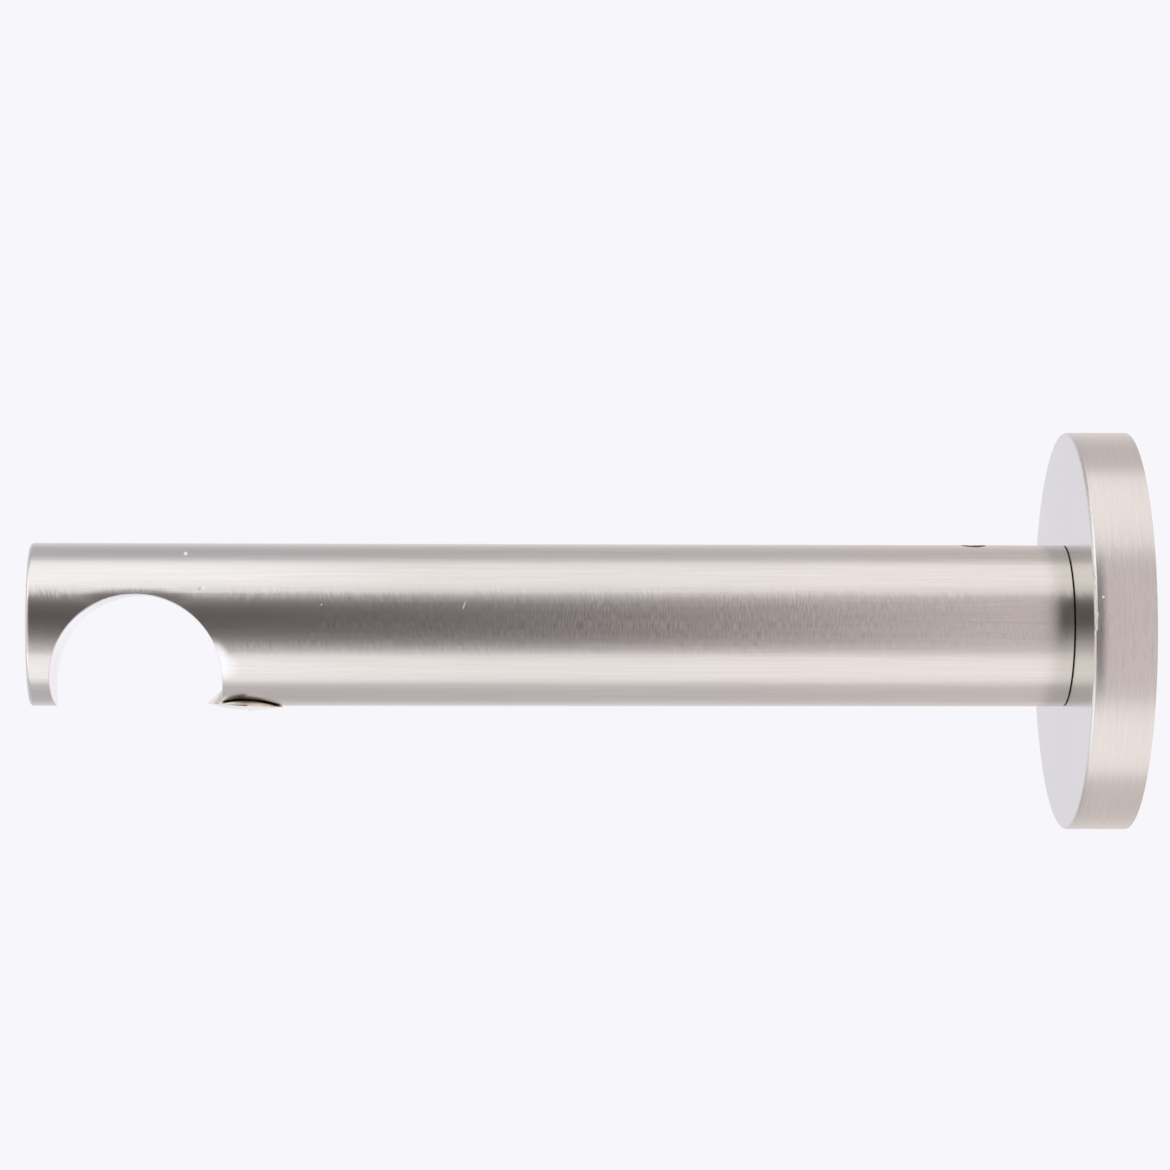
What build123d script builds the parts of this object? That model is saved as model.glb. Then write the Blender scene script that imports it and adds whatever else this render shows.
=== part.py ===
from build123d import *

import os
from math import cos, radians, sin, sqrt, tan

# Curtain pole bracket: a round bar arm with an open pole seat, pushed on the spigot of a wall plate.
# Millimetres. The origin is the centre of the plate's wall face and +X points into the wall.
# The arm runs along -X, the pole lies along Y, and the pole seat opens towards -Z.

# Arm and pole seat
arm_diameter = 20.0
arm_end_round = 0.5
arm_foot_chamfer = 0.12
pole_diameter = 20.0
pole_play = 0.9
pole_reach = 122.0
seat_drop = 6.85
seat_edge_round = 0.15
finger_thickness = 2.8

# Wall plate with the spigot that carries the arm
plate_diameter = 49.2
plate_thickness = 7.6
plate_front_round = 0.4
plate_back_chamfer = 0.3
spigot_diameter = 13.0
spigot_length = 16.0
spigot_chamfer = 0.5
spigot_play = 0.64
spigot_rest_gap = 0.02
spigot_end_gap = 0.6
foot_gap = 0.12
groove_depth = 1.0
wall_screw_hole = 5.5
wall_screw_head = 10.4

# Raised countersunk screw that traps the pole
screw_thread = 4.0
screw_length = 12.0
screw_tip_chamfer = 0.6
screw_head_diameter = 9.3
screw_head_angle = 90.0
screw_head_inset = 0.15
screw_head_edge = 0.1
screw_head_raise = 0.62
screw_head_overhang = 1.51
screw_lean = 3.1
screw_tip_gap = 2.0
pocket_angle = 97.0
recess_diameter = 4.8
recess_tip_diameter = 1.4
recess_depth = 2.6
recess_wing = 0.9
recess_turn = 8.0

# Grub screw that locks the arm on the spigot
grub_thread = 3.0
grub_length = 4.0
grub_to_plate = 11.3
grub_turn = 5.0
grub_edge_chamfer = 0.3
grub_point_angle = 90.0
grub_socket = 1.5
grub_socket_depth = 1.6

# Shared clearances: between screws and their holes, and how far a cut runs past a surface
thread_play = 0.05
cut_run_out = 1.0
drill_point_angle = 118.0


def cone_depth(wide: float, narrow: float, angle: float) -> float:
    """Length of a cone that narrows between two radii at a full angle in degrees."""
    return (wide - narrow) / tan(radians(angle / 2))


# The grub screw draws the arm up until its bore rests on the underside of the spigot
arm_lift = spigot_play - spigot_rest_gap
arm_plane = Plane(origin=(0, 0, arm_lift), x_dir=(1, 0, 0), z_dir=(0, -1, 0))
arm_axis = Axis(arm_plane.origin, arm_plane.x_dir)

# Places along the bracket that follow from those sizes
arm_radius = arm_diameter / 2
seat_radius = (pole_diameter + pole_play) / 2
seat_x = -pole_reach
arm_tip_x = seat_x - seat_radius - finger_thickness
plate_front_x = -plate_thickness
arm_foot_x = plate_front_x - foot_gap
spigot_end_x = plate_front_x - spigot_length
bore_radius = spigot_diameter / 2 + spigot_play
bore_end_x = spigot_end_x - spigot_end_gap
grub_x = plate_front_x - grub_to_plate
groove_floor = spigot_diameter / 2 - groove_depth

# The grub screw stands square on the spigot's axis, turned a little towards the front
turn = radians(grub_turn)
grub_frame = Plane(origin=(grub_x, 0, 0), x_dir=(1, 0, 0), z_dir=(0, -sin(turn), cos(turn)))
grub_half = Plane(origin=grub_frame.origin, x_dir=grub_frame.x_dir, z_dir=-grub_frame.y_dir)

# The head's rim stands over the seat wall by the overhang, and its axis leans away from the seat
screw_radius = screw_thread / 2
screw_head_radius = screw_head_diameter / 2
rim_drop = arm_radius - screw_head_inset
rim_to_seat_wall = sqrt(seat_radius**2 - (rim_drop - seat_drop) ** 2)
screw_x = seat_x + rim_to_seat_wall + screw_head_radius - screw_head_overhang
lean = radians(screw_lean)
screw_frame = Plane(
    origin=(screw_x, 0, arm_lift - rim_drop), x_dir=(cos(lean), 0, -sin(lean)), z_dir=(0, -1, 0)
)
screw_axis = Axis(screw_frame.origin, screw_frame.y_dir)
hole_radius = screw_radius + thread_play
head_cone = cone_depth(screw_head_radius, screw_radius, screw_head_angle)
pocket_mouth = hole_radius + (head_cone + cut_run_out) * tan(radians(pocket_angle / 2))
hole_depth = screw_length + screw_tip_gap
drill_point = cone_depth(hole_radius, 0, drill_point_angle)



def plane_through_screw(angle: float) -> Plane:
    """Plane through the pole screw's axis, turned about it by an angle in degrees."""
    x_dir = screw_frame.x_dir * cos(radians(angle)) - screw_frame.z_dir * sin(radians(angle))
    return Plane(origin=screw_frame.origin, x_dir=x_dir, z_dir=x_dir.cross(screw_frame.y_dir))


os.makedirs("parts", exist_ok=True)

# Arm: a turned bar, bored at its foot for the spigot
with BuildPart() as bracket_arm:
    with BuildSketch(arm_plane) as bar_profile:
        with BuildLine():
            Polyline(
                (arm_tip_x, 0),
                (arm_tip_x, arm_radius),
                (arm_foot_x, arm_radius),
                (arm_foot_x, bore_radius),
                (bore_end_x, bore_radius),
                (bore_end_x, 0),
                close=True,
            )
        make_face()
        outer_corners = bar_profile.vertices().group_by(Axis.Y)[-1].sort_by(Axis.X)
        fillet(outer_corners[0], radius=arm_end_round)
        chamfer(outer_corners[-1], length=arm_foot_chamfer)
    revolve(axis=arm_axis)

    # Round seat for the pole, open below, with its edges rounded by the brushing
    with BuildSketch(arm_plane):
        with Locations((seat_x, -seat_drop)):
            Circle(seat_radius)
    extrude(amount=arm_diameter, both=True, mode=Mode.SUBTRACT)
    fillet(bracket_arm.edges(Select.LAST), radius=seat_edge_round)

    # Tapped hole for the pole screw: its countersink is wider than the head, and a drill point ends it
    with BuildSketch(screw_frame):
        with BuildLine():
            Polyline(
                (0, -cut_run_out),
                (pocket_mouth, -cut_run_out),
                (hole_radius, head_cone),
                (hole_radius, hole_depth),
                (0, hole_depth + drill_point),
                close=True,
            )
        make_face()
    revolve(axis=screw_axis, mode=Mode.SUBTRACT)

    # Tapped hole for the grub screw, from the spigot bore out through the top
    with BuildSketch(grub_frame):
        Circle(grub_thread / 2 + thread_play)
    extrude(amount=arm_lift + arm_radius + cut_run_out, mode=Mode.SUBTRACT)
bracket_arm.part.label = "bracket_arm"
export_step(bracket_arm.part, "parts/bracket_arm.step")

# Wall plate: disc and grooved spigot turned as one, drilled through for a wall screw
with BuildPart() as wall_plate:
    head_sink = cone_depth(wall_screw_head / 2, wall_screw_hole / 2, screw_head_angle)
    with BuildSketch(Plane.XZ) as plate_profile:
        with BuildLine():
            Polyline(
                (0, wall_screw_hole / 2),
                (0, plate_diameter / 2),
                (plate_front_x, plate_diameter / 2),
                (plate_front_x, spigot_diameter / 2),
                (grub_x + groove_depth, spigot_diameter / 2),
                (grub_x, groove_floor),
                (grub_x - groove_depth, spigot_diameter / 2),
                (spigot_end_x + spigot_chamfer, spigot_diameter / 2),
                (spigot_end_x, spigot_diameter / 2 - spigot_chamfer),
                (spigot_end_x, wall_screw_head / 2),
                (spigot_end_x + head_sink, wall_screw_hole / 2),
                close=True,
            )
        make_face()
        rim_corners = plate_profile.vertices().group_by(Axis.Y)[-1].sort_by(Axis.X)
        fillet(rim_corners[0], radius=plate_front_round)
        chamfer(rim_corners[-1], length=plate_back_chamfer)
    revolve(axis=Axis.X)
wall_plate.part.label = "wall_plate"
export_step(wall_plate.part, "parts/wall_plate.step")

# Pole screw: raised countersunk head with a cross recess
with BuildPart() as pole_screw:
    dome_z = -screw_head_edge - screw_head_raise
    with BuildSketch(plane_through_screw(recess_turn + 45)):
        with BuildLine():
            TangentArc((0, dome_z), (screw_head_radius, -screw_head_edge), tangent=(1, 0))
            Polyline(
                (screw_head_radius, -screw_head_edge),
                (screw_head_radius, 0),
                (screw_radius, head_cone),
                (screw_radius, screw_length - screw_tip_chamfer),
                (screw_radius - screw_tip_chamfer, screw_length),
                (0, screw_length),
                (0, dome_z),
            )
        make_face()
    revolve(axis=screw_axis)

    # Each pair of opposite wings is one tapered slot through the screw's axis
    for wing_turn in (recess_turn, recess_turn + 90):
        with BuildSketch(plane_through_screw(wing_turn)):
            with BuildLine():
                Polyline(
                    (-recess_diameter / 2, dome_z),
                    (recess_diameter / 2, dome_z),
                    (recess_tip_diameter / 2, dome_z + recess_depth),
                    (-recess_tip_diameter / 2, dome_z + recess_depth),
                    close=True,
                )
            make_face()
        extrude(amount=recess_wing / 2, both=True, mode=Mode.SUBTRACT)
pole_screw.part.label = "pole_screw"
export_step(pole_screw.part, "parts/pole_screw.step")

# Grub screw: its point sits in the spigot's groove, clear of the flanks by the thread play
with BuildPart() as grub_screw:
    point_z = groove_floor + thread_play / sin(radians(grub_point_angle / 2))
    grub_top_z = point_z + grub_length
    grub_radius = grub_thread / 2
    point_length = cone_depth(grub_radius, 0, grub_point_angle)
    with BuildSketch(grub_half):
        with BuildLine():
            Polyline(
                (0, point_z),
                (grub_radius, point_z + point_length),
                (grub_radius, grub_top_z - grub_edge_chamfer),
                (grub_radius - grub_edge_chamfer, grub_top_z),
                (0, grub_top_z),
                close=True,
            )
        make_face()
    revolve(axis=Axis(grub_frame.origin, grub_frame.z_dir))

    # Hexagon socket for the key
    with BuildSketch(grub_frame.offset(grub_top_z)):
        RegularPolygon(radius=grub_socket / 2, side_count=6, major_radius=False)
    extrude(amount=-grub_socket_depth, mode=Mode.SUBTRACT)
grub_screw.part.label = "grub_screw"
export_step(grub_screw.part, "parts/grub_screw.step")
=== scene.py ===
"""Curtain pole bracket in brushed satin nickel, dressed over its CAD frame.

The arm is a round bar with an open seat for the pole. It is pushed on the spigot of a round wall
plate. The origin is the centre of the plate's wall face, +X goes into the wall, the pole lies
along Y, and the seat opens towards -Z. Sizes are in millimetres and go to metres through MM.
"""

import logging
from dataclasses import dataclass
from enum import Enum
from math import cos, pi, radians, sin, sqrt, tan

import bmesh
import bpy
from bmesh.types import BMesh
from bpy.types import Material, NodeSocket, Object, World
from mathutils import Matrix, Vector


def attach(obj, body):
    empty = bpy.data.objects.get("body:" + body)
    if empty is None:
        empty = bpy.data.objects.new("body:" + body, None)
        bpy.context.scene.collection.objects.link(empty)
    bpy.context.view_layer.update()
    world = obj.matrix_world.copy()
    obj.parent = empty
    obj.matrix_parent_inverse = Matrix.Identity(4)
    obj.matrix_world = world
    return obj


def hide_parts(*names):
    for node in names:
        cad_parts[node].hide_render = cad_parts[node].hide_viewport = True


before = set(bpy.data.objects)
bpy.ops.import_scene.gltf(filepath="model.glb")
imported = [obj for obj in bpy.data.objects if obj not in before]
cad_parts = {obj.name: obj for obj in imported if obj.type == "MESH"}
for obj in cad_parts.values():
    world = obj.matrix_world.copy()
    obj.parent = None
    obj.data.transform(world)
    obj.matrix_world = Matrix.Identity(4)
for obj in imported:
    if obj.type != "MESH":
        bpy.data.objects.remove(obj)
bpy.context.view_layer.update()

MM = 0.001
BODY = "root"
Pair = tuple[float, float]
Triple = tuple[float, float, float]

# Input and output sockets of a mix node, which share their names
VALUE_A, VALUE_B = 2, 3
COLOUR_A, COLOUR_B, MIXED_COLOUR = 6, 7, 2

# A noise texture keeps mostly between these values
NOISE_LOW, NOISE_HIGH = 0.3, 0.7

log = logging.getLogger("curtain_pole_bracket")


class Solid(Enum):
    """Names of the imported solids."""

    ARM = "bracket_arm"
    PLATE = "wall_plate"
    POLE_SCREW = "pole_screw"
    GRUB_SCREW = "grub_screw"


class Slot(Enum):
    """Names of the record's material slots."""

    BRIGHT_NICKEL = "bright_nickel"
    BLACK_STEEL = "black_steel"


def linear_colour(hex_colour: str) -> tuple[float, float, float, float]:
    """Turn an sRGB hex colour into linear light.

    Args:
        hex_colour: The colour as "#RRGGBB".

    Returns:
        Linear red, green and blue, with an alpha of 1.
    """
    channels = []
    for start in (1, 3, 5):
        value = int(hex_colour[start : start + 2], 16) / 255
        channels.append(value / 12.92 if value <= 0.04045 else ((value + 0.055) / 1.055) ** 2.4)
    return (*channels, 1.0)


class Nodes:
    """The node tree of a material or a world."""

    def __init__(self, owner: Material | World) -> None:
        """Start an empty tree.

        Args:
            owner: The material or world.
        """
        owner.use_nodes = True
        self.owner = owner
        self.tree = owner.node_tree
        self.tree.nodes.clear()

    def add(
        self,
        kind: str,
        inputs: dict[str | int, object] | None = None,
        output: str | int = 0,
        **settings: str | bool,
    ) -> NodeSocket | None:
        """Add a node with its settings, and fill or link its input sockets.

        Args:
            kind: Blender's name of the node type.
            inputs: Socket name or number to an output socket to link, or a value to set.
            output: Name or number of the output socket to give back.
            **settings: Properties of the node itself.

        Returns:
            The output socket, or None for a node that ends the tree.
        """
        node = self.tree.nodes.new(kind)
        for name, value in settings.items():
            setattr(node, name, value)
        for socket, value in (inputs or {}).items():
            if isinstance(value, NodeSocket):
                self.tree.links.new(value, node.inputs[socket])
            else:
                node.inputs[socket].default_value = value
        return node.outputs[output] if node.outputs else None


class Skin(Nodes):
    """The material of a piece, with the place on that piece in millimetres."""

    def __init__(self, name: str) -> None:
        """Start an empty material.

        Args:
            name: The material's name.
        """
        super().__init__(bpy.data.materials.new(name))
        place = self.add("ShaderNodeTexCoord", output="Object")
        self.place_mm = self.add("ShaderNodeVectorMath", {0: place, "Scale": 1 / MM}, operation="SCALE")

    def metal(self, inputs: dict[str, object]) -> Material:
        """Close the material with a surface of bare metal.

        Args:
            inputs: Socket names of the surface to values or output sockets.

        Returns:
            The material.
        """
        shader = self.add("ShaderNodeBsdfPrincipled", {"Metallic": 1.0, **inputs})
        self.add("ShaderNodeOutputMaterial", {"Surface": shader})
        return self.owner


@dataclass(frozen=True)
class Mark:
    """A spot on the front of a turned piece that wear has tilted, or that is polished and lightened.

    The leans go on the normal. The polish is a share of the cut face's smoother finish and whiter colour,
    and that whiter colour is a painted highlight. Both are full in the core, a share of the spot's size,
    and end at its rim.
    """

    x: float
    z: float
    half_width: float
    half_height: float
    slant: float = 0.0
    lean_x: float = 0.0
    lean_z: float = 0.0
    polish_and_highlight: float = 0.0
    core: float = 0.4

    def cover(self, skin: Skin, axis_height: float, radius: float) -> NodeSocket:
        """Tell the mark from the surface round it.

        Args:
            skin: The piece's material.
            axis_height: Height of the piece's axis.
            radius: Radius of the turned surface.

        Returns:
            1 in the middle of the mark and 0 outside it.
        """
        centre = (self.x, -sqrt(radius**2 - (self.z - axis_height) ** 2), self.z)
        away = skin.add("ShaderNodeVectorMath", {0: skin.place_mm, 1: centre}, operation="SUBTRACT")
        turned = skin.add(
            "ShaderNodeVectorRotate",
            {"Vector": away, "Angle": radians(self.slant)},
            rotation_type="Y_AXIS",
        )
        shares = skin.add(
            "ShaderNodeVectorMath",
            {0: turned, 1: (1 / self.half_width, 1 / self.half_height, 1 / self.half_height)},
            operation="MULTIPLY",
        )
        distance = skin.add("ShaderNodeVectorMath", {0: shares}, output="Value", operation="LENGTH")
        return skin.add(
            "ShaderNodeMapRange",
            {"Value": distance, "From Min": 1.0, "From Max": self.core},
            interpolation_type="SMOOTHSTEP",
        )


@dataclass(frozen=True)
class EasedEdge:
    """A strip that the brushing wheel has worn down towards an edge square to X."""

    start_x: float
    edge_x: float
    lean_x: float


@dataclass(frozen=True, kw_only=True)
class SmoothZone:
    """A cut face on a brushed piece, smoother and whiter than the brushed rest."""

    colour: str
    roughness: float
    blend: float = 0.08
    full_share: float = 0.25

    def depth(self, skin: Skin) -> NodeSocket:
        """Measure how far inside the cut face a place lies.

        Args:
            skin: The piece's material.

        Returns:
            The depth in millimetres, above 0 on the brushed side.
        """
        raise NotImplementedError

    def cover(self, skin: Skin) -> NodeSocket:
        """Tell the cut face from the brushed rest.

        Args:
            skin: The piece's material.

        Returns:
            1 on the cut face and 0 on the rest.
        """
        depth = self.depth(skin)
        return skin.add(
            "ShaderNodeMapRange",
            {"Value": depth, "From Min": self.blend, "From Max": self.blend * self.full_share},
        )


@dataclass(frozen=True, kw_only=True)
class BoredSeat(SmoothZone):
    """The wall of a round cut along Y."""

    x: float
    z: float
    radius: float

    def depth(self, skin: Skin) -> NodeSocket:
        """Measure the distance from the bored wall.

        Args:
            skin: The piece's material.

        Returns:
            The depth in millimetres, above 0 in the metal behind the wall.
        """
        away = skin.add(
            "ShaderNodeVectorMath", {0: skin.place_mm, 1: (self.x, 0, self.z)}, operation="SUBTRACT"
        )
        across = skin.add("ShaderNodeVectorMath", {0: away, 1: (1, 0, 1)}, operation="MULTIPLY")
        distance = skin.add("ShaderNodeVectorMath", {0: across}, output="Value", operation="LENGTH")
        return skin.add("ShaderNodeMath", {0: distance, 1: self.radius}, operation="SUBTRACT")


@dataclass(frozen=True, kw_only=True)
class TurnedFace(SmoothZone):
    """A flat turned face square to X."""

    x: float

    def depth(self, skin: Skin) -> NodeSocket:
        """Measure the distance behind the turned face.

        Args:
            skin: The piece's material.

        Returns:
            The depth in millimetres, above 0 behind the face.
        """
        along = skin.add("ShaderNodeSeparateXYZ", {0: skin.place_mm}, output="X")
        return skin.add("ShaderNodeMath", {0: along, 1: self.x}, operation="SUBTRACT")


@dataclass(frozen=True)
class BrushedNickel:
    """Satin nickel plate on steel, brushed on a belt before plating.

    The brushing spreads each reflection round the bar more than along it, so bright and dark run
    in soft bands. Short cross flecks from the belt's joint lean the surface a little along the bar.
    They light up in the dark band, where a bright wall is near, and can't be seen in an even one.
    The brush lines themselves show as a faint grain of lighter and duller metal.
    """

    name: str
    axis_height: float
    radius: float
    grain: Pair
    zone: SmoothZone
    colour: str = "#DED9D5"
    dull_colour: str = "#D9D3CF"
    roughness: float = 0.255
    anisotropy: float = 0.45
    fleck_width: float = 0.15
    fleck_length: float = 1.1
    fleck_slant: float = 12.0
    fleck_lean: float = 0.012
    fleck_wave: float = 0.022
    fleck_rise: float = 0.15
    fleck_reach: Pair = (0.7, 0.3)
    fleck_roughness: float = 0.009
    fleck_noise: Pair = (0.25, 0.75)
    patch_size: float = 5.0
    patch_strength: Pair = (0.6, 1.5)
    eased_edge: EasedEdge | None = None
    marks: tuple[Mark, ...] = ()

    def material(self) -> Material:
        """Build the node material.

        Returns:
            The material.
        """
        skin = Skin(self.name)
        normal = skin.add("ShaderNodeNewGeometry", output="Normal")
        strength = self.patches(skin)
        lean = self.flecks(skin, 0.0, strength)
        wave = self.flecks(skin, self.fleck_slant, strength)
        colour = self.grained(skin)
        roughness = skin.add(
            "ShaderNodeMath",
            {0: wave, 1: self.fleck_roughness, 2: self.roughness},
            operation="MULTIPLY_ADD",
        )
        cover = self.zone.cover(skin)
        # Polished marks take the cut face's lower roughness and its whiter colour, which is a painted
        # highlight
        for mark in self.marks:
            if mark.polish_and_highlight:
                polished_highlight = mark.cover(skin, self.axis_height, self.radius)
                cover = skin.add(
                    "ShaderNodeMath",
                    {0: polished_highlight, 1: mark.polish_and_highlight, 2: cover},
                    operation="MULTIPLY_ADD",
                    use_clamp=True,
                )
        roughness = skin.add(
            "ShaderNodeMix",
            {"Factor": cover, VALUE_A: roughness, VALUE_B: self.zone.roughness},
            data_type="FLOAT",
        )
        colour = skin.add(
            "ShaderNodeMix",
            {"Factor": cover, COLOUR_A: colour, COLOUR_B: linear_colour(self.zone.colour)},
            output=MIXED_COLOUR,
            data_type="RGBA",
        )
        along = skin.add("ShaderNodeCombineXYZ", {"X": 1.0})
        around = skin.add("ShaderNodeVectorMath", {0: along, 1: normal}, operation="CROSS_PRODUCT")
        for direction, noise, amount in ((along, lean, self.fleck_lean), (around, wave, self.fleck_wave)):
            share = skin.add("ShaderNodeMath", {0: noise, 1: amount}, operation="MULTIPLY")
            offset = skin.add("ShaderNodeVectorMath", {0: direction, "Scale": share}, operation="SCALE")
            normal = skin.add("ShaderNodeVectorMath", {0: normal, 1: offset}, operation="ADD")
        if self.eased_edge:
            normal = self.eased(skin, normal)
        normal = self.worn(skin, normal)
        tangent = skin.add("ShaderNodeTangent", direction_type="RADIAL", axis="X")
        return skin.metal(
            {
                "Base Color": colour,
                "Roughness": roughness,
                "Anisotropic": self.anisotropy,
                "Normal": normal,
                "Tangent": tangent,
            }
        )

    def patches(self, skin: Skin) -> NodeSocket:
        """Make the strength of the flecks vary from patch to patch, and end towards the top and bottom.

        Args:
            skin: The piece's material.

        Returns:
            The strength, about 1 a little above mid height.
        """
        noise = skin.add(
            "ShaderNodeTexNoise",
            {"Vector": skin.place_mm, "Scale": 1 / self.patch_size, "Detail": 1.0},
            output="Fac",
        )
        strength = skin.add(
            "ShaderNodeMapRange",
            {
                "Value": noise,
                "From Min": NOISE_LOW,
                "From Max": NOISE_HIGH,
                "To Min": self.patch_strength[0],
                "To Max": self.patch_strength[1],
            },
        )
        height = skin.add("ShaderNodeSeparateXYZ", {0: skin.place_mm}, output="Z")
        rise = skin.add(
            "ShaderNodeMath",
            {0: height, 1: self.axis_height + self.fleck_rise * self.radius},
            operation="SUBTRACT",
        )
        away = skin.add("ShaderNodeMath", {0: rise}, operation="ABSOLUTE")
        end, start = (share * self.radius for share in self.fleck_reach)
        return skin.add(
            "ShaderNodeMapRange",
            {"Value": away, "From Min": end, "From Max": start, "To Max": strength},
            interpolation_type="SMOOTHSTEP",
        )

    def grained(self, skin: Skin) -> NodeSocket:
        """Draw the brush lines, lighter and duller, in the direction of the belt.

        Real lines are about 0.05 mm wide, too fine to show, so these are drawn coarser.

        Args:
            skin: The piece's material.

        Returns:
            The metal's colour.
        """
        along, across = self.grain
        stretched = skin.add(
            "ShaderNodeVectorMath",
            {0: skin.place_mm, 1: (1 / along, 1 / across, 1 / across)},
            operation="MULTIPLY",
        )
        noise = skin.add(
            "ShaderNodeTexNoise", {"Vector": stretched, "Scale": 1.0, "Detail": 2.0}, output="Fac"
        )
        share = skin.add(
            "ShaderNodeMapRange", {"Value": noise, "From Min": NOISE_LOW, "From Max": NOISE_HIGH}
        )
        return skin.add(
            "ShaderNodeMix",
            {
                "Factor": share,
                COLOUR_A: linear_colour(self.dull_colour),
                COLOUR_B: linear_colour(self.colour),
            },
            output=MIXED_COLOUR,
            data_type="RGBA",
        )

    def flecks(self, skin: Skin, slant: float, strength: NodeSocket) -> NodeSocket:
        """Draw one set of short cross flecks round the bar.

        Args:
            skin: The piece's material.
            slant: Degrees by which the flecks lean along the bar.
            strength: How strong they are at each place.

        Returns:
            Signed height of the flecks, about -1 to 1.
        """
        split = skin.add("ShaderNodeSeparateXYZ", {0: skin.place_mm}).node
        leaned = skin.add(
            "ShaderNodeMath",
            {0: split.outputs["Z"], 1: tan(radians(slant)), 2: split.outputs["X"]},
            operation="MULTIPLY_ADD",
        )
        slanted = skin.add(
            "ShaderNodeCombineXYZ", {"X": leaned, "Y": split.outputs["Y"], "Z": split.outputs["Z"]}
        )
        stretched = skin.add(
            "ShaderNodeVectorMath",
            {0: slanted, 1: (1 / self.fleck_width, 1 / self.fleck_length, 1 / self.fleck_length)},
            operation="MULTIPLY",
        )
        noise = skin.add(
            "ShaderNodeTexNoise", {"Vector": stretched, "Scale": 1.0, "Detail": 2.0}, output="Fac"
        )
        low, high = self.fleck_noise
        signed = skin.add(
            "ShaderNodeMapRange",
            {"Value": noise, "From Min": low, "From Max": high, "To Min": -1.0, "To Max": 1.0},
            clamp=False,
        )
        return skin.add("ShaderNodeMath", {0: signed, 1: strength}, operation="MULTIPLY")

    def eased(self, skin: Skin, normal: NodeSocket) -> NodeSocket:
        """Lean the surface over towards the eased edge.

        Args:
            skin: The piece's material.
            normal: The brushed surface's normal.

        Returns:
            The normal, with the eased edge in it.
        """
        along = skin.add("ShaderNodeSeparateXYZ", {0: skin.place_mm}, output="X")
        lean = skin.add(
            "ShaderNodeMapRange",
            {
                "Value": along,
                "From Min": self.eased_edge.start_x,
                "From Max": self.eased_edge.edge_x,
                "To Max": self.eased_edge.lean_x,
            },
            interpolation_type="SMOOTHSTEP",
        )
        offset = skin.add("ShaderNodeCombineXYZ", {"X": lean})
        return skin.add("ShaderNodeVectorMath", {0: normal, 1: offset}, operation="ADD")

    def worn(self, skin: Skin, normal: NodeSocket) -> NodeSocket:
        """Lean the surface at the marks of wear.

        Args:
            skin: The piece's material.
            normal: The brushed surface's normal.

        Returns:
            The normal, with the marks in it.
        """
        for mark in self.marks:
            cover = mark.cover(skin, self.axis_height, self.radius)
            lean = skin.add(
                "ShaderNodeVectorMath",
                {0: (mark.lean_x, 0, mark.lean_z), "Scale": cover},
                operation="SCALE",
            )
            normal = skin.add("ShaderNodeVectorMath", {0: normal, 1: lean}, operation="ADD")
        return skin.add("ShaderNodeVectorMath", {0: normal}, operation="NORMALIZE")


@dataclass(frozen=True)
class BrightNickel:
    """Bright nickel plate on a turned steel screw: a warm mirror with fine turning lines.

    The cone under the head, in the arm's pocket, is painted dark as painted shade of the gap round it,
    and made duller.
    """

    name: str
    axis_place: Triple
    axis: Triple
    colour: str = "#F4EEE4"
    roughness: float = 0.11
    # Painted shade under the head: its colour, its roughness, and where it lies along the axis and along
    # X
    painted_shade_colour: str = "#6E665F"
    shaded_cone_roughness: float = 0.35
    painted_shade_height: Pair = (0.12, 0.5)
    painted_shade_x: Pair = (-112.4, -110.8)
    line_spacing: float = 0.12
    smudge_scale: float = 0.6
    streak_noise: Pair = (0.6, 1.4)
    streak_roughness: Pair = (0.7, 1.3)

    def material(self) -> Material:
        """Build the node material.

        Returns:
            The material.
        """
        skin = Skin(self.name)
        away = skin.add(
            "ShaderNodeVectorMath", {0: skin.place_mm, 1: self.axis_place}, operation="SUBTRACT"
        )
        height = skin.add(
            "ShaderNodeVectorMath", {0: away, 1: self.axis}, output="Value", operation="DOT_PRODUCT"
        )
        across = skin.add("ShaderNodeVectorMath", {0: away, 1: self.axis}, operation="CROSS_PRODUCT")
        radius = skin.add("ShaderNodeVectorMath", {0: across}, output="Value", operation="LENGTH")
        rings = skin.add("ShaderNodeCombineXYZ", {"X": radius, "Y": height})
        # Turning lines of about 0.05 mm are drawn at more than twice that to show
        lines = skin.add(
            "ShaderNodeTexNoise",
            {"Vector": rings, "Scale": 1 / self.line_spacing, "Detail": 1.0},
            output="Fac",
        )
        smudges = skin.add(
            "ShaderNodeTexNoise",
            {"Vector": skin.place_mm, "Scale": self.smudge_scale, "Detail": 2.0},
            output="Fac",
        )
        streaks = skin.add("ShaderNodeMath", {0: lines, 1: smudges}, operation="ADD")
        roughness = skin.add(
            "ShaderNodeMapRange",
            {
                "Value": streaks,
                "From Min": self.streak_noise[0],
                "From Max": self.streak_noise[1],
                "To Min": self.roughness * self.streak_roughness[0],
                "To Max": self.roughness * self.streak_roughness[1],
            },
        )
        along = skin.add("ShaderNodeSeparateXYZ", {0: skin.place_mm}, output="X")
        # Painted shade: the cone under the head, inside the pocket, is darkened in its colour
        under_head, in_pocket = (
            skin.add(
                "ShaderNodeMapRange",
                {"Value": value, "From Min": start, "From Max": end},
                interpolation_type="SMOOTHSTEP",
            )
            for value, (start, end) in ((height, self.painted_shade_height), (along, self.painted_shade_x))
        )
        painted_shade = skin.add("ShaderNodeMath", {0: under_head, 1: in_pocket}, operation="MULTIPLY")
        roughness = skin.add(
            "ShaderNodeMix",
            {"Factor": painted_shade, VALUE_A: roughness, VALUE_B: self.shaded_cone_roughness},
            data_type="FLOAT",
        )
        colour = skin.add(
            "ShaderNodeMix",
            {
                "Factor": painted_shade,
                COLOUR_A: linear_colour(self.colour),
                COLOUR_B: linear_colour(self.painted_shade_colour),
            },
            output=MIXED_COLOUR,
            data_type="RGBA",
        )
        return skin.metal({"Base Color": colour, "Roughness": roughness})


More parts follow.
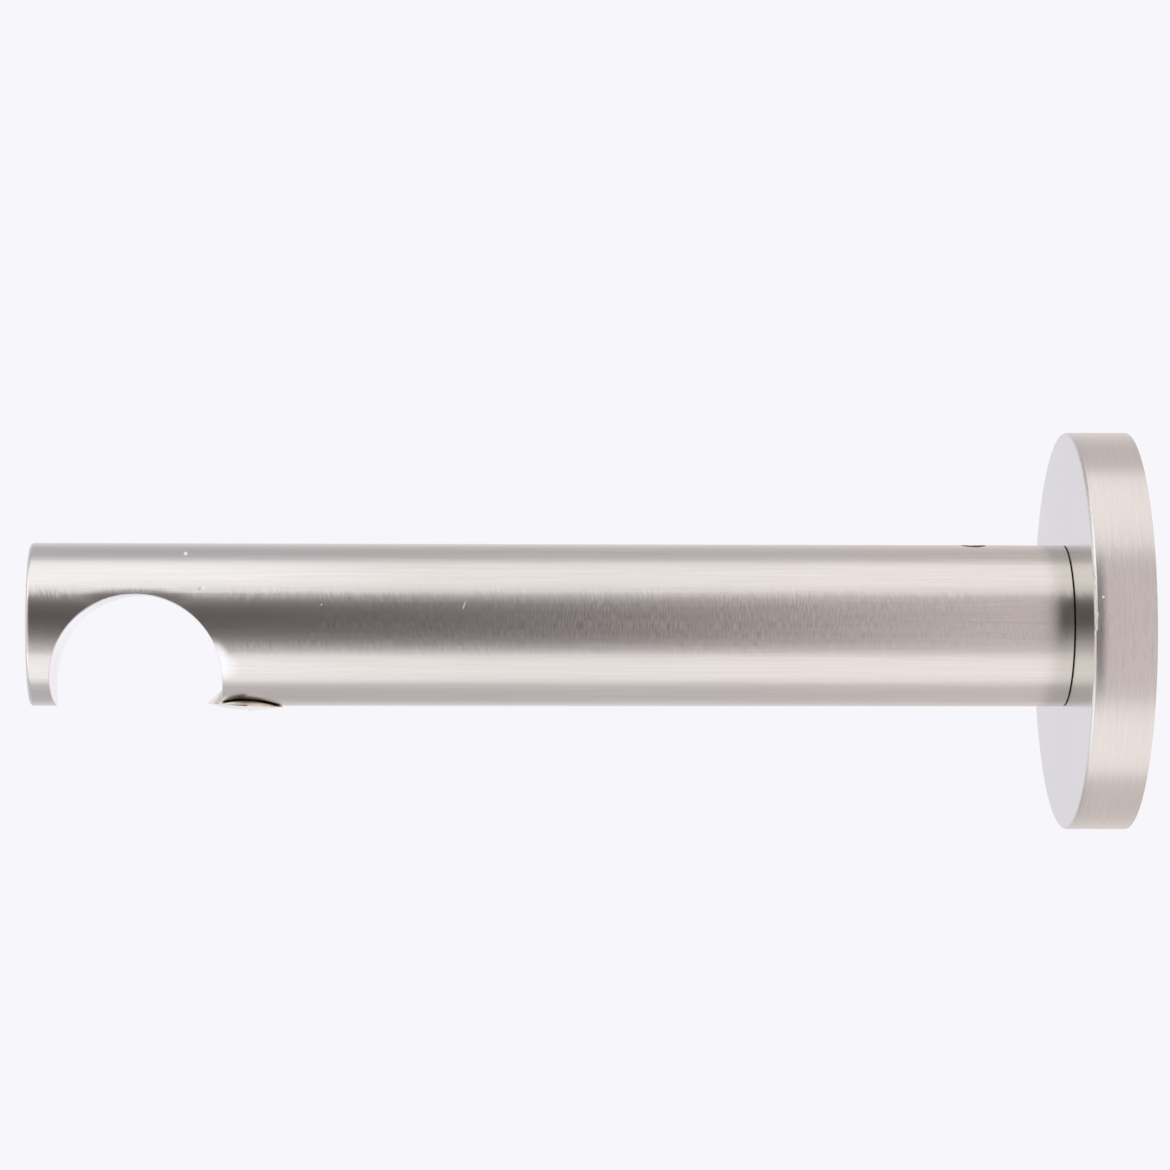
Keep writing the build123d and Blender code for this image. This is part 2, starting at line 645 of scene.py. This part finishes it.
@dataclass(frozen=True)
class BlackOxide:
    """Black oxide on a steel grub screw: a dark, oily, half matt skin, uneven from the bath."""

    name: str
    colour: str = "#1E1E20"
    rubbed_colour: str = "#3B3937"
    roughness: Pair = (0.52, 0.32)
    blotch_size: float = 0.6

    def material(self) -> Material:
        """Build the node material.

        Returns:
            The material.
        """
        skin = Skin(self.name)
        blotches = skin.add(
            "ShaderNodeTexNoise",
            {"Vector": skin.place_mm, "Scale": 1 / self.blotch_size, "Detail": 3.0},
            output="Fac",
        )
        colour = skin.add(
            "ShaderNodeMix",
            {
                "Factor": blotches,
                COLOUR_A: linear_colour(self.colour),
                COLOUR_B: linear_colour(self.rubbed_colour),
            },
            output=MIXED_COLOUR,
            data_type="RGBA",
        )
        roughness = skin.add(
            "ShaderNodeMapRange",
            {"Value": blotches, "To Min": self.roughness[0], "To Max": self.roughness[1]},
        )
        return skin.metal({"Base Color": colour, "Roughness": roughness})


def dress(solid: Solid, material: Material) -> Object:
    """Give a CAD solid its material.

    Args:
        solid: The solid to dress.
        material: Its finish.

    Returns:
        The dressed solid.
    """
    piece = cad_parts[solid.value]
    piece.data.materials.clear()
    piece.data.materials.append(material)
    return piece


@dataclass
class BracketArm:
    """The round bar, bored at its foot for the spigot, with the pole's seat near its free end."""

    radius: float = 10.0
    axis_height: float = 0.62
    seat_x: float = -122.0
    seat_drop: float = 6.85
    seat_radius: float = 10.45
    seat_colour: str = "#F1F2FD"
    seat_roughness: float = 0.12
    grain: Pair = (14.0, 0.35)
    marks: tuple[Mark, ...] = (
        # Dent beside the seat, dark on its left and light on its right
        Mark(-114.25, 5.0, 0.3, 0.34, lean_z=-0.065),
        Mark(-113.8, 5.05, 0.28, 0.36, lean_z=0.12),
        # Slanted scratch and small nicks along the front
        Mark(-82.2, 3.0, 0.09, 0.66, slant=-22.0, lean_x=0.16, lean_z=0.1),
        Mark(-99.5, 3.05, 0.12, 0.16, lean_x=0.14),
        Mark(-116.1, 9.3, 0.3, 0.6, lean_z=-0.45),
        Mark(-116.35, 9.66, 0.24, 0.6, lean_z=-0.3),
        Mark(-120.3, 5.8, 0.14, 0.6, slant=-25.0, lean_z=-0.06),
        # The brushing has worn the bar down towards the top of the seat
        Mark(-122.0, 4.05, 7.8, 1.35, lean_z=-0.085),
        # Lower right edge of the seat: a lean in the surface, and a smoother patch whose whiter colour is
        # a painted highlight
        Mark(-112.9, -3.0, 2.3, 2.5, lean_z=-0.2),
        Mark(-112.7, -4.4, 3.6, 3.1, polish_and_highlight=0.5),
    )

    def build(self) -> Object:
        """Dress the bar, whose turned and cut shape is the CAD solid's own.

        Returns:
            The dressed piece.
        """
        seat = BoredSeat(
            x=self.seat_x,
            z=self.axis_height - self.seat_drop,
            radius=self.seat_radius,
            colour=self.seat_colour,
            roughness=self.seat_roughness,
        )
        finish = BrushedNickel(
            "brushed_satin_nickel_arm",
            self.axis_height,
            self.radius,
            self.grain,
            seat,
            marks=self.marks,
        )
        return dress(Solid.ARM, finish.material())


@dataclass
class WallPlate:
    """The round plate with the spigot that carries the arm."""

    radius: float = 24.6
    front_x: float = -7.6
    face_colour: str = "#E0DBD0"
    face_roughness: float = 0.16
    grain: Pair = (0.16, 5.0)
    eased_edge: EasedEdge = EasedEdge(-5.6, -7.0, -0.055)
    marks: tuple[Mark, ...] = (
        # Two bright nicks on the rim
        Mark(-6.5, 4.05, 0.22, 0.24, lean_z=0.4),
        Mark(-7.25, 2.0, 0.2, 0.3, lean_z=0.9),
    )

    def build(self) -> Object:
        """Dress the plate, whose turned shape is the CAD solid's own.

        Returns:
            The dressed piece.
        """
        face = TurnedFace(x=self.front_x, colour=self.face_colour, roughness=self.face_roughness)
        finish = BrushedNickel(
            "brushed_satin_nickel_plate",
            0.0,
            self.radius,
            self.grain,
            face,
            eased_edge=self.eased_edge,
            marks=self.marks,
        )
        return dress(Solid.PLATE, finish.material())


@dataclass
class ThreadedScrew:
    """A screw turned about its own axis, with a real thread; heights run along that axis."""

    thread_radius: float
    pitch: float
    segments: int = 72
    rows_per_pitch: int = 14
    crest_share: float = 0.125
    root_share: float = 0.25
    depth_share: float = 0.613
    sharp_angle: float = 28.0
    # The first ring already counts as threaded
    first_share: float = 0.001

    def thread_cut(self, height: float, angle: float) -> float:
        """Depth of a right-hand thread below its crest.

        Args:
            height: Height along the screw's axis.
            angle: Angle round the axis in radians.

        Returns:
            The depth at that place.
        """
        phase = (height / self.pitch - angle / (2 * pi)) % 1.0
        from_crest = abs(2 * phase - 1)
        flank = (from_crest - self.crest_share) / (1 - self.root_share - self.crest_share)
        return self.depth_share * self.pitch * min(max(flank, 0.0), 1.0)

    def turned(self, ends: Pair, rings: list[Triple]) -> BMesh:
        """Join rings of points into one closed turned body.

        Args:
            ends: Heights of the two points on the axis that close the body.
            rings: Height, outer radius and share of the thread's depth of each ring, in order.

        Returns:
            The closed mesh about the Z axis, in metres.
        """
        shape = bmesh.new()
        loops = []
        for height, radius, thread_share in rings:
            loop = []
            for step in range(self.segments):
                angle = 2 * pi * step / self.segments
                crest = self.thread_radius - thread_share * self.thread_cut(height, angle)
                reach = min(radius, crest) if thread_share else radius
                corner = Vector((reach * cos(angle), reach * sin(angle), height))
                loop.append(shape.verts.new(corner * MM))
            loops.append(loop)
        for low, high in zip(loops, loops[1:]):
            for step in range(self.segments):
                after = (step + 1) % self.segments
                shape.faces.new((low[step], low[after], high[after], high[step]))
        for end, loop in ((ends[0], loops[0]), (ends[1], loops[-1])):
            tip = shape.verts.new((0, 0, end * MM))
            for step in range(self.segments):
                shape.faces.new((tip, loop[step], loop[(step + 1) % self.segments]))
        bmesh.ops.recalc_face_normals(shape, faces=shape.faces)
        return shape

    def thread_rings(self, start: float, end: float, run_in: float) -> list[Triple]:
        """Work out the rings of the threaded stretch.

        Args:
            start: Height where the thread starts to deepen.
            end: Height of its last ring.
            run_in: Length over which it deepens.

        Returns:
            Height, outer radius and thread share of each ring.
        """
        count = round((end - start) / self.pitch * self.rows_per_pitch)
        heights = [start + (end - start) * step / count for step in range(count + 1)]
        return [
            (height, self.thread_radius, min(1.0, (height - start) / run_in + self.first_share))
            for height in heights
        ]

    def finished(
        self,
        name: str,
        shape: BMesh,
        cutters: list[BMesh],
        place: Matrix,
        material: Material,
    ) -> Object:
        """Cut the drive out of the turned body and set the screw in its place.

        Args:
            name: Name of the piece.
            shape: The turned body about the Z axis.
            cutters: Closed bodies to cut away.
            place: Where the Z axis and the origin go.
            material: The finish.

        Returns:
            The finished piece.
        """
        body = self.loose_object(name, shape)
        for number, cutter in enumerate(cutters):
            tool = self.loose_object(f"{name}_cutter_{number}", cutter)
            cut = body.modifiers.new("drive", "BOOLEAN")
            cut.object = tool
            cut.solver = "EXACT"
            evaluated = body.evaluated_get(bpy.context.evaluated_depsgraph_get())
            cut_mesh = bpy.data.meshes.new_from_object(evaluated)
            body.modifiers.clear()
            body.data = cut_mesh
            bpy.data.objects.remove(tool)
        body.data.transform(place)
        body.data.shade_smooth()
        body.data.set_sharp_from_angle(angle=radians(self.sharp_angle))
        body.data.materials.clear()
        body.data.materials.append(material)
        return body

    @staticmethod
    def loose_object(name: str, shape: BMesh) -> Object:
        """Turn a mesh in the making into an object of the scene.

        Args:
            name: The object's name.
            shape: The mesh, which is freed.

        Returns:
            The new object.
        """
        mesh = bpy.data.meshes.new(name)
        shape.to_mesh(mesh)
        shape.free()
        piece = bpy.data.objects.new(name, mesh)
        bpy.context.scene.collection.objects.link(piece)
        return piece


@dataclass
class PoleScrew(ThreadedScrew):
    """Raised countersunk screw in the arm, whose head stands over the seat and traps the pole."""

    thread_radius: float = 2.0
    pitch: float = 0.7
    length: float = 12.0
    tip_chamfer: float = 0.6
    head_radius: float = 4.65
    head_cone: float = 2.65
    head_edge: float = 0.1
    head_raise: float = 0.62
    dome_rings: int = 14
    rim_drop: float = 9.85
    overhang: float = 1.51
    lean: float = 3.1
    recess_width: float = 4.8
    recess_tip_width: float = 1.4
    recess_depth: float = 2.6
    recess_wing: float = 0.9
    recess_turn: float = 8.0
    cut_run_out: float = 0.3
    run_in_pitches: float = 1.5

    def build(self, arm: BracketArm) -> Object:
        """Turn, thread and place the screw.

        Args:
            arm: The arm that holds it.

        Returns:
            The finished piece.
        """
        seat_wall = sqrt(arm.seat_radius**2 - (self.rim_drop - arm.seat_drop) ** 2)
        rim_x = arm.seat_x + seat_wall + self.head_radius - self.overhang
        rim = Vector((rim_x, 0, arm.axis_height - self.rim_drop))
        place = Matrix.Translation(rim * MM) @ Matrix.Rotation(radians(self.lean), 4, "Y")
        axis = place.to_3x3() @ Vector((0, 0, 1))
        finish = BrightNickel("bright_nickel_turned_screw", tuple(rim), tuple(axis))
        top = -self.head_edge - self.head_raise
        shape = self.turned((top, self.length), self.rings())
        cutters = [self.wing(radians(self.recess_turn + turn), top) for turn in (0, 90)]
        screw = self.finished("threaded_pole_screw", shape, cutters, place, finish.material())
        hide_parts(Solid.POLE_SCREW.value)
        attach(screw, BODY)
        return screw

    def rings(self) -> list[Triple]:
        """Work out the screw's rings from its raised head to its tip.

        Returns:
            Height, outer radius and thread share of each ring.
        """
        dome_radius = (self.head_radius**2 + self.head_raise**2) / (2 * self.head_raise)
        rings = []
        for step in range(1, self.dome_rings + 1):
            reach = self.head_radius * step / self.dome_rings
            sink = dome_radius - sqrt(dome_radius**2 - reach**2)
            rings.append((sink - self.head_edge - self.head_raise, reach, 0.0))
        rings.append((0.0, self.head_radius, 0.0))
        tip_start = self.length - self.tip_chamfer
        run_in = self.run_in_pitches * self.pitch
        for height, radius, share in self.thread_rings(self.head_cone, self.length, run_in):
            rings.append((height, radius - max(0.0, height - tip_start), share))
        return rings

    def wing(self, turn: float, top: float) -> BMesh:
        """Make one tapered slot of the cross recess.

        Args:
            turn: Its angle round the screw in radians.
            top: Height of the dome's top.

        Returns:
            The closed cutter.
        """
        slope = (self.recess_width - self.recess_tip_width) / self.recess_depth
        levels = (
            (top - self.cut_run_out, self.recess_width + slope * self.cut_run_out),
            (top + self.recess_depth, self.recess_tip_width),
        )
        shape = bmesh.new()
        corners = []
        for height, width in levels:
            for side_x, side_y in ((-1, -1), (1, -1), (1, 1), (-1, 1)):
                corner = Vector((side_x * width / 2, side_y * self.recess_wing / 2, height))
                corners.append(shape.verts.new(Matrix.Rotation(turn, 3, "Z") @ corner * MM))
        shape.faces.new(corners[:4])
        shape.faces.new(corners[4:])
        for step in range(4):
            after = (step + 1) % 4
            shape.faces.new((corners[step], corners[after], corners[4 + after], corners[4 + step]))
        bmesh.ops.recalc_face_normals(shape, faces=shape.faces)
        return shape


@dataclass
class GrubScrew(ThreadedScrew):
    """Socket grub screw through the top of the arm, with its point in the spigot's groove."""

    thread_radius: float = 1.5
    pitch: float = 0.5
    length: float = 4.0
    point_height: float = 5.5707
    grub_x: float = -18.9
    turn: float = 5.0
    edge_chamfer: float = 0.3
    socket: float = 1.5
    socket_sides: int = 6
    socket_depth: float = 1.6
    cut_run_out: float = 0.3

    def build(self) -> Object:
        """Turn, thread and place the screw.

        Returns:
            The finished piece.
        """
        upright = Matrix.Rotation(radians(self.turn), 4, "X")
        place = Matrix.Translation(Vector((self.grub_x, 0, 0)) * MM) @ upright
        bottom = self.point_height
        top = bottom + self.length
        rings = []
        for height, radius, share in self.thread_rings(bottom + self.pitch / 2, top, self.pitch):
            from_point = height - bottom
            from_top = self.thread_radius - self.edge_chamfer + (top - height)
            rings.append((height, min(radius, from_point, from_top), share))
        shape = self.turned((bottom, top), rings)
        finish = BlackOxide("black_oxide_steel_screw")
        cutters = [self.key_socket(top)]
        grub = self.finished("threaded_grub_screw", shape, cutters, place, finish.material())
        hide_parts(Solid.GRUB_SCREW.value)
        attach(grub, BODY)
        return grub

    def key_socket(self, top: float) -> BMesh:
        """Make the hexagon that the key goes in.

        Args:
            top: Height of the screw's top.

        Returns:
            The closed cutter.
        """
        corner_radius = self.socket / 2 / cos(pi / self.socket_sides)
        depth = self.socket_depth + self.cut_run_out
        shape = bmesh.new()
        bmesh.ops.create_cone(
            shape,
            cap_ends=True,
            segments=self.socket_sides,
            radius1=corner_radius * MM,
            radius2=corner_radius * MM,
            depth=depth * MM,
            matrix=Matrix.Translation((0, 0, (top + self.cut_run_out - depth / 2) * MM)),
        )
        return shape


@dataclass
class Softbox:
    """A long soft lamp beside the arm, seen in the metal as one bright band."""

    name: str
    low_angle: float
    high_angle: float
    radiance: float
    distance: float = 420.0
    left_end: float = -820.0
    right_end: float = 100.0
    colour: str = "#FFFFFF"

    def build(self) -> None:
        """Hang the lamp at its angle over the camera's side of the arm."""
        middle = radians((self.low_angle + self.high_angle) / 2)
        half = radians((self.high_angle - self.low_angle) / 2)
        lamp = bpy.data.lights.new(self.name, "AREA")
        lamp.shape = "RECTANGLE"
        lamp.size = (self.right_end - self.left_end) * MM
        lamp.size_y = 2 * self.distance * tan(half) * MM
        lamp.energy = self.radiance * pi * lamp.size * lamp.size_y
        lamp.color = linear_colour(self.colour)[:3]
        holder = bpy.data.objects.new(self.name, lamp)
        towards = Vector((0, -cos(middle), sin(middle)))
        middle_x = (self.left_end + self.right_end) / 2
        holder.location = (towards * self.distance + Vector((middle_x, 0, 0))) * MM
        holder.rotation_mode = "QUATERNION"
        holder.rotation_quaternion = (-towards).to_track_quat("-Z", "Y")
        holder.visible_camera = False
        bpy.context.scene.collection.objects.link(holder)


@dataclass
class Studio:
    """White paper studio, open towards the camera, with a pale floor far below the bracket."""

    paper: str = "#F7F6FB"
    room: str = "#2E2124"
    right_wall: str = "#F5ECEA"
    back_wall: str = "#ECECF9"
    floor_drop: float = 500.0
    floor_radius: float = 8000.0
    floor_fade_start: float = 1500.0
    floor_fade_end: float = 3500.0
    floor_colour: str = "#E8E7EA"
    floor_segments: int = 96
    opening_left: Pair = (-88.0, 5.0)
    opening_right: Pair = (7.6, 3.6)
    opening_top: Pair = (53.0, 37.0)
    opening_top_right: float = 5.0
    opening_top_turn: Pair = (-1.5, 8.0)
    opening_bottom: Pair = (-47.0, -20.0)
    opening_bottom_left: float = 6.0
    opening_bottom_turn: Pair = (-2.0, -5.0)
    left_wall_start: Pair = (-30.0, -60.0)
    right_wall_start: Pair = (-2.0, 12.0)
    wall_fall_off: Pair = (18.0, 50.0)
    wall_high_left: float = 0.57
    wall_high_right: float = 0.76
    wall_high_far_left: float = 0.88
    back_wall_start: Pair = (0.0, -6.0)
    back_wall_turn: Pair = (0.8, 0.97)
    floor_bounce: float = 1.13
    softboxes: tuple[Softbox, ...] = (
        Softbox("softbox_above", 45.0, 101.0, 0.55),
        Softbox("softbox_below", -89.0, -41.0, 0.5),
        Softbox("left_softbox_above", 45.0, 101.0, 0.27, 380.0, right_end=-105.0, colour="#EAFAFB"),
        Softbox("left_softbox_below", -89.0, -41.0, 0.2, 380.0, right_end=-105.0, colour="#EAFAFB"),
    )

    def build(self) -> None:
        """Set up the world, the floor and the lamps."""
        self.build_world()
        self.build_floor()
        for softbox in self.softboxes:
            softbox.build()

    def build_world(self) -> None:
        """White paper all round, with the dark room showing in the metal through the open front."""
        world = bpy.data.worlds.new("paper_studio")
        bpy.context.scene.world = world
        nodes = Nodes(world)
        direction = nodes.add("ShaderNodeTexCoord", output="Generated")
        split = nodes.add("ShaderNodeSeparateXYZ", {0: direction}).node
        forward = nodes.add("ShaderNodeMath", {0: split.outputs["Y"], 1: -1.0}, operation="MULTIPLY")
        side_angle, rise = (
            nodes.add("ShaderNodeMath", {0: split.outputs[axis]}, operation="ARCSINE")
            for axis in ("X", "Z")
        )
        band_angle = nodes.add("ShaderNodeMath", {0: split.outputs["Z"], 1: forward}, operation="ARCTAN2")
        in_metal = nodes.add(
            "ShaderNodeMix",
            {
                "Factor": self.opening(nodes, side_angle, band_angle),
                COLOUR_A: self.walls(nodes, side_angle, rise, split.outputs["Y"]),
                COLOUR_B: linear_colour(self.room),
            },
            output=MIXED_COLOUR,
            data_type="RGBA",
        )
        is_glossy = nodes.add("ShaderNodeLightPath", output="Is Glossy Ray")
        colour = nodes.add(
            "ShaderNodeMix",
            {"Factor": is_glossy, COLOUR_A: linear_colour(self.paper), COLOUR_B: in_metal},
            output=MIXED_COLOUR,
            data_type="RGBA",
        )
        background = nodes.add("ShaderNodeBackground", {"Color": colour, "Strength": 1.0})
        nodes.add("ShaderNodeOutputWorld", {"Surface": background})

    def opening(self, nodes: Nodes, side_angle: NodeSocket, band_angle: NodeSocket) -> NodeSocket:
        """Shape the dark opening towards the camera.

        It is darkest where all four of its soft edges are passed. Its top is softer on the right, and
        its bottom on the left.

        Args:
            nodes: The world's node tree.
            side_angle: Angle of a direction to the right, along the arm.
            band_angle: Its angle round the arm, up from the camera's side.

        Returns:
            1 in the middle of the opening and 0 outside it.
        """
        top_inside, bottom_inside = (
            nodes.add(
                "ShaderNodeMapRange",
                {
                    "Value": side_angle,
                    "From Min": radians(turn[0]),
                    "From Max": radians(turn[1]),
                    "To Min": radians(inside),
                    "To Max": radians(soft_inside),
                },
            )
            for turn, inside, soft_inside in (
                (self.opening_top_turn, self.opening_top[1], self.opening_top_right),
                (self.opening_bottom_turn, self.opening_bottom[1], self.opening_bottom_left),
            )
        )
        opening = 1.0
        for angle, outside, inside in (
            (side_angle, self.opening_left[0], radians(self.opening_left[1])),
            (side_angle, self.opening_right[0], radians(self.opening_right[1])),
            (band_angle, self.opening_top[0], top_inside),
            (band_angle, self.opening_bottom[0], bottom_inside),
        ):
            edge = nodes.add(
                "ShaderNodeMapRange",
                {"Value": angle, "From Min": radians(outside), "From Max": inside},
                interpolation_type="SMOOTHSTEP",
            )
            opening = nodes.add("ShaderNodeMath", {0: opening, 1: edge}, operation="MULTIPLY")
        return opening

    def walls(
        self, nodes: Nodes, side_angle: NodeSocket, rise: NodeSocket, backward: NodeSocket
    ) -> NodeSocket:
        """Shade the paper walls round the opening.

        Args:
            nodes: The world's node tree.
            side_angle: Angle of a direction to the right, along the arm.
            rise: Its angle up from level.
            backward: Its share away from the camera.

        Returns:
            The colour of the walls.
        """
        steepness = nodes.add("ShaderNodeMath", {0: rise}, operation="ABSOLUTE")
        on_left, on_right = (
            nodes.add(
                "ShaderNodeMapRange",
                {"Value": side_angle, "From Min": radians(start), "From Max": radians(end)},
                interpolation_type="SMOOTHSTEP",
            )
            for start, end in (self.left_wall_start, self.right_wall_start)
        )
        wall_high = self.wall_high_left
        for share, high in ((on_right, self.wall_high_right), (on_left, self.wall_high_far_left)):
            wall_high = nodes.add(
                "ShaderNodeMapRange", {"Value": share, "To Min": wall_high, "To Max": high}
            )
        shade = nodes.add(
            "ShaderNodeMapRange",
            {
                "Value": steepness,
                "From Min": radians(self.wall_fall_off[0]),
                "From Max": radians(self.wall_fall_off[1]),
                "To Min": 1.0,
                "To Max": wall_high,
            },
            interpolation_type="SMOOTHSTEP",
        )
        behind, beside = (
            nodes.add("ShaderNodeMapRange", {"Value": value, "From Min": start, "From Max": end})
            for value, start, end in (
                (backward, *self.back_wall_turn),
                (side_angle, *(radians(angle) for angle in self.back_wall_start)),
            )
        )
        at_back = nodes.add("ShaderNodeMath", {0: behind, 1: beside}, operation="MULTIPLY")
        paper = linear_colour(self.paper)
        for share, wall_colour in ((on_right, self.right_wall), (at_back, self.back_wall)):
            paper = nodes.add(
                "ShaderNodeMix",
                {"Factor": share, COLOUR_A: paper, COLOUR_B: linear_colour(wall_colour)},
                output=MIXED_COLOUR,
                data_type="RGBA",
            )
        bounce = nodes.add(
            "ShaderNodeMapRange",
            {
                "Value": rise,
                "From Min": -radians(self.wall_fall_off[1]),
                "From Max": -radians(self.wall_fall_off[0]),
                "To Min": self.floor_bounce,
                "To Max": 1.0,
            },
        )
        shade = nodes.add("ShaderNodeMath", {0: shade, 1: bounce}, operation="MULTIPLY")
        return nodes.add("ShaderNodeVectorMath", {0: paper, "Scale": shade}, operation="SCALE")

    def build_floor(self) -> None:
        """A wide paper disc that keeps the bracket's soft shadow and fades into the paper far away."""
        skin = Skin("studio_floor_paper")
        away = skin.add("ShaderNodeVectorMath", {0: skin.place_mm}, output="Value", operation="LENGTH")
        fade = skin.add(
            "ShaderNodeMapRange",
            {"Value": away, "From Min": self.floor_fade_start, "From Max": self.floor_fade_end},
            interpolation_type="SMOOTHSTEP",
        )
        is_camera = skin.add("ShaderNodeLightPath", output="Is Camera Ray")
        share = skin.add("ShaderNodeMath", {0: fade, 1: is_camera}, operation="MULTIPLY")
        near = skin.add(
            "ShaderNodeBsdfDiffuse", {"Color": linear_colour(self.floor_colour), "Roughness": 0.0}
        )
        far = skin.add("ShaderNodeEmission", {"Color": linear_colour(self.paper), "Strength": 1.0})
        surface = skin.add("ShaderNodeMixShader", {0: share, 1: near, 2: far})
        skin.add("ShaderNodeOutputMaterial", {"Surface": surface})

        mesh = bpy.data.meshes.new("studio_floor")
        shape = bmesh.new()
        bmesh.ops.create_circle(
            shape, cap_ends=True, segments=self.floor_segments, radius=self.floor_radius * MM
        )
        shape.to_mesh(mesh)
        shape.free()
        mesh.materials.append(skin.owner)
        floor = bpy.data.objects.new("studio_floor", mesh)
        floor.location.z = -self.floor_drop * MM
        floor.visible_glossy = False
        bpy.context.scene.collection.objects.link(floor)


@dataclass
class PhotoCamera:
    """The camera that took the photograph, worked out from the bracket's own outline in it."""

    place: Triple = (-94.60, -560.08, 0.52)
    turn_right: float = 2.816
    tilt_up: float = 0.517
    roll: float = 0.088
    lens: float = 139.54
    sensor: float = 36.0

    def build(self) -> None:
        """Create the camera and make it the scene's own."""
        camera = bpy.data.cameras.new("photo_camera")
        camera.lens = self.lens
        camera.sensor_width = self.sensor
        camera.sensor_fit = "HORIZONTAL"
        holder = bpy.data.objects.new("photo_camera", camera)
        turn = (
            Matrix.Rotation(-radians(self.turn_right), 4, "Z")
            @ Matrix.Rotation(radians(90 + self.tilt_up), 4, "X")
            @ Matrix.Rotation(radians(self.roll), 4, "Z")
        )
        holder.matrix_world = Matrix.Translation(Vector(self.place) * MM) @ turn
        bpy.context.scene.collection.objects.link(holder)
        bpy.context.scene.camera = holder


def main() -> None:
    """Dress the bracket and set up its studio."""
    logging.basicConfig(level=logging.INFO, format="%(name)s: %(message)s")
    bpy.context.scene.view_settings.view_transform = "Standard"
    arm = BracketArm()
    for piece in (arm.build(), WallPlate().build(), PoleScrew().build(arm), GrubScrew().build()):
        log.info("%s: %d faces in %s", piece.name, len(piece.data.polygons), piece.data.materials[0].name)
    Studio().build()
    PhotoCamera().build()


if __name__ == "__main__":
    main()
